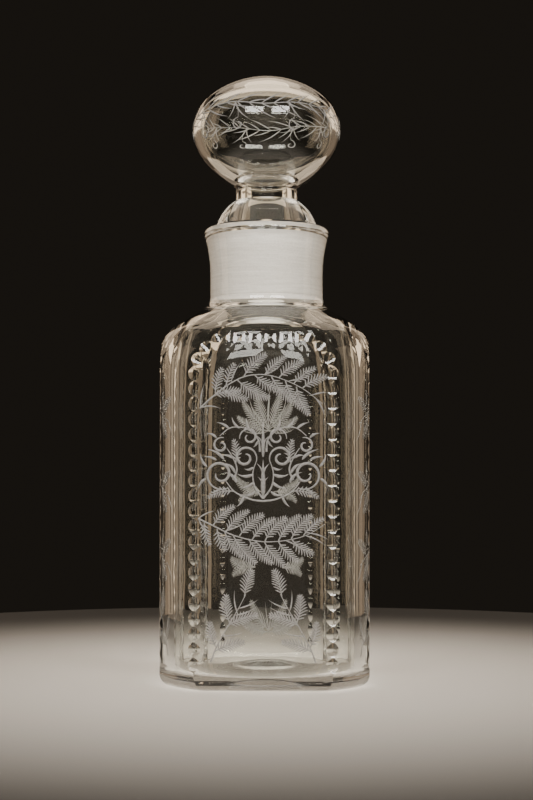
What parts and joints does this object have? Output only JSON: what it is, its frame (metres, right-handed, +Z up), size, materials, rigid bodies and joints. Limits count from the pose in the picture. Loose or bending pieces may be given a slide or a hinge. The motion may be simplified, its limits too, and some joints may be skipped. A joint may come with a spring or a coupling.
{
  "type": "stoppered glass bottle",
  "caption": "Square clear glass toilet-water bottle with notched edges, a round shoulder, a flared collar and a hollow globe stopper with a ground tapered plug.",
  "frame": {"origin": "centre of the base, at the level the bottle stands on", "axes": "+Z up along the bottle's axis; the engraved front face looks along -Y, and +X is to the right of someone facing it"},
  "size_m": [0.067, 0.067, 0.2001],
  "materials": {
    "bottle_glass": "polished clear lead glass",
    "stopper_glass": "polished clear lead glass"
  },
  "bodies": {
    "bottle": {"bottle": "bottle_glass"},
    "stopper": {"stopper": "stopper_glass"}
  },
  "joints": [
    {"name": "stopper_lift", "type": "slide", "parent": "bottle", "child": "stopper", "axis": [0, 0, 1], "range_m": [0, 0.045]}
  ]
}
